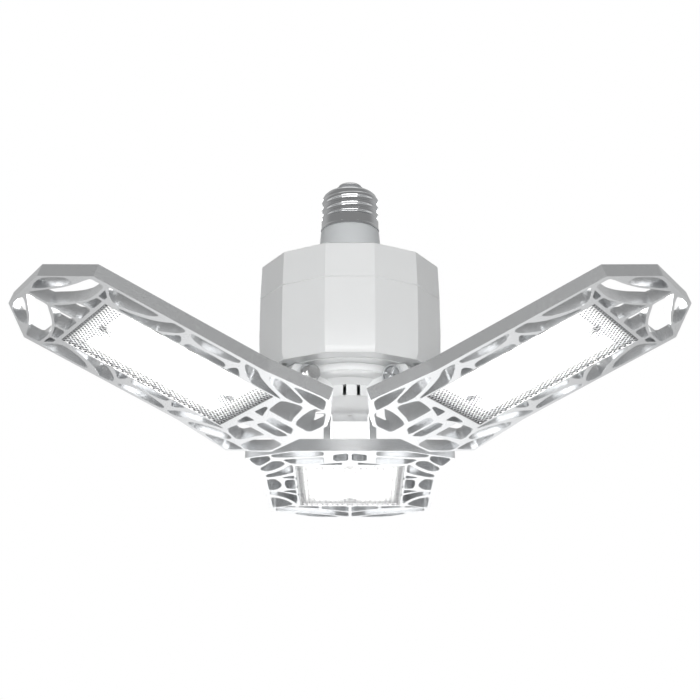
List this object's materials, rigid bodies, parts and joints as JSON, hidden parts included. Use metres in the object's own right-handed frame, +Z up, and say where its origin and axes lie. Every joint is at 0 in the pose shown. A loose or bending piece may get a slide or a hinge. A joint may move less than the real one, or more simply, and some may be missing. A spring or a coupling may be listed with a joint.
{
  "type": "deformable garage light",
  "caption": "Ceiling light with a screw base, a faceted driver housing and openwork light panels that fold up and down on hinges.",
  "frame": {"origin": "on the centre line, at half the height of the smooth band of the screw shell, where the lamp holder grips it", "axes": "+Z up towards the lamp holder, -Y towards the facet between the left and right panels, +X to the right panel's side"},
  "size_m": [0.2784, 0.253, 0.1262],
  "materials": {
    "contact": "satin",
    "insulator": "satin",
    "nickel_shell": "nickel plate, polished",
    "neck_plastic": "satin",
    "housing_plastic": "satin white",
    "hub_plastic": "satin white",
    "driver_mask": "solder mask",
    "winding_tape": "yellow tape",
    "capacitor_sleeve": "shrink sleeve",
    "copper_winding": "enamelled copper",
    "chip_black": "moulded",
    "lead_red": "insulation",
    "lead_white": "insulation",
    "screw_steel": "zinc plate",
    "nut_nickel": "nickel plate",
    "panel_paint": "die cast, silver white satin paint",
    "plate_aluminium": "as extruded",
    "lens_clear": "clear, prismatic",
    "board_white": "white solder mask",
    "led_glow": "phosphor"
  },
  "bodies": {
    "base": {"contact_tip": "contact", "base_insulator": "insulator", "screw_shell": "nickel_shell", "neck": "neck_plastic", "upper_shell": "housing_plastic", "lower_shell": "housing_plastic", "driver_board": "driver_mask", "driver_screws": "screw_steel", "transformer": "winding_tape", "capacitors": "capacitor_sleeve", "choke_coil": "copper_winding", "power_chips": "chip_black", "base_leads": "lead_red", "panel_leads": "lead_white", "hub": "hub_plastic", "hub_screws": "screw_steel", "hinge_washers": "screw_steel"},
    "left_panel": {"left_frame": "panel_paint", "left_heat_plate": "plate_aluminium", "left_plate_screws": "screw_steel", "left_lens": "lens_clear", "left_led_board": "board_white", "left_led_chips": "led_glow", "left_board_screws": "screw_steel", "left_lead": "lead_white", "left_hinge_screw": "screw_steel", "left_hinge_nut": "nut_nickel"},
    "right_panel": {"right_frame": "panel_paint", "right_heat_plate": "plate_aluminium", "right_plate_screws": "screw_steel", "right_lens": "lens_clear", "right_led_board": "board_white", "right_led_chips": "led_glow", "right_board_screws": "screw_steel", "right_lead": "lead_white", "right_hinge_screw": "screw_steel", "right_hinge_nut": "nut_nickel"},
    "back_panel": {"back_frame": "panel_paint", "back_heat_plate": "plate_aluminium", "back_plate_screws": "screw_steel", "back_lens": "lens_clear", "back_led_board": "board_white", "back_led_chips": "led_glow", "back_board_screws": "screw_steel", "back_lead": "lead_white", "back_hinge_screw": "screw_steel", "back_hinge_nut": "nut_nickel"}
  },
  "joints": [
    {"name": "left_tilt", "type": "hinge", "parent": "base", "child": "left_panel", "pos_m": [-0.02347, -0.01355, -0.0781], "axis": [-0.5, 0.866, 0], "range_deg": [-21.6, 68.4]},
    {"name": "right_tilt", "type": "hinge", "parent": "base", "child": "right_panel", "pos_m": [0.02347, -0.01355, -0.0781], "axis": [-0.5, -0.866, 0], "range_deg": [-21.6, 68.4]},
    {"name": "back_tilt", "type": "hinge", "parent": "base", "child": "back_panel", "pos_m": [0, 0.0271, -0.0781], "axis": [1, 0, 0], "range_deg": [0, 90]}
  ]
}
